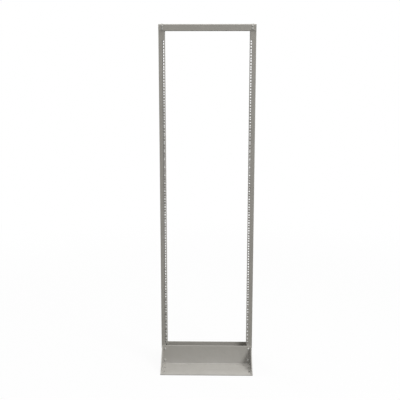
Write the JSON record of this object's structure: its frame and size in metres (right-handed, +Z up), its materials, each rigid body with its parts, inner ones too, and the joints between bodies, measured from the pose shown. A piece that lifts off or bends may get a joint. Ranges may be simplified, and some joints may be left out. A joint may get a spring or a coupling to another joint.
{
  "type": "two post open frame rack",
  "caption": "Free-standing open frame rack: two punched channel posts tied by top angles, on gusseted base angles, for 19 inch equipment.",
  "frame": {"origin": "on the floor, midway between the posts and midway between their front and rear faces", "axes": "+X to the viewer's right, +Y to the rear, +Z up along the posts"},
  "size_m": [0.5144, 0.362, 1.8958],
  "materials": {
    "painted_frame": "warm grey satin paint",
    "painted_base": "warm grey satin paint"
  },
  "bodies": {
    "root": {"left_post": "painted_frame", "right_post": "painted_frame", "left_post_cap": "painted_frame", "right_post_cap": "painted_frame", "top_front_angle": "painted_frame", "top_rear_angle": "painted_frame", "base_front_angle": "painted_base", "base_rear_angle": "painted_base", "front_left_gusset": "painted_base", "front_right_gusset": "painted_base", "rear_left_gusset": "painted_base", "rear_right_gusset": "painted_base"}
  },
  "joints": []
}
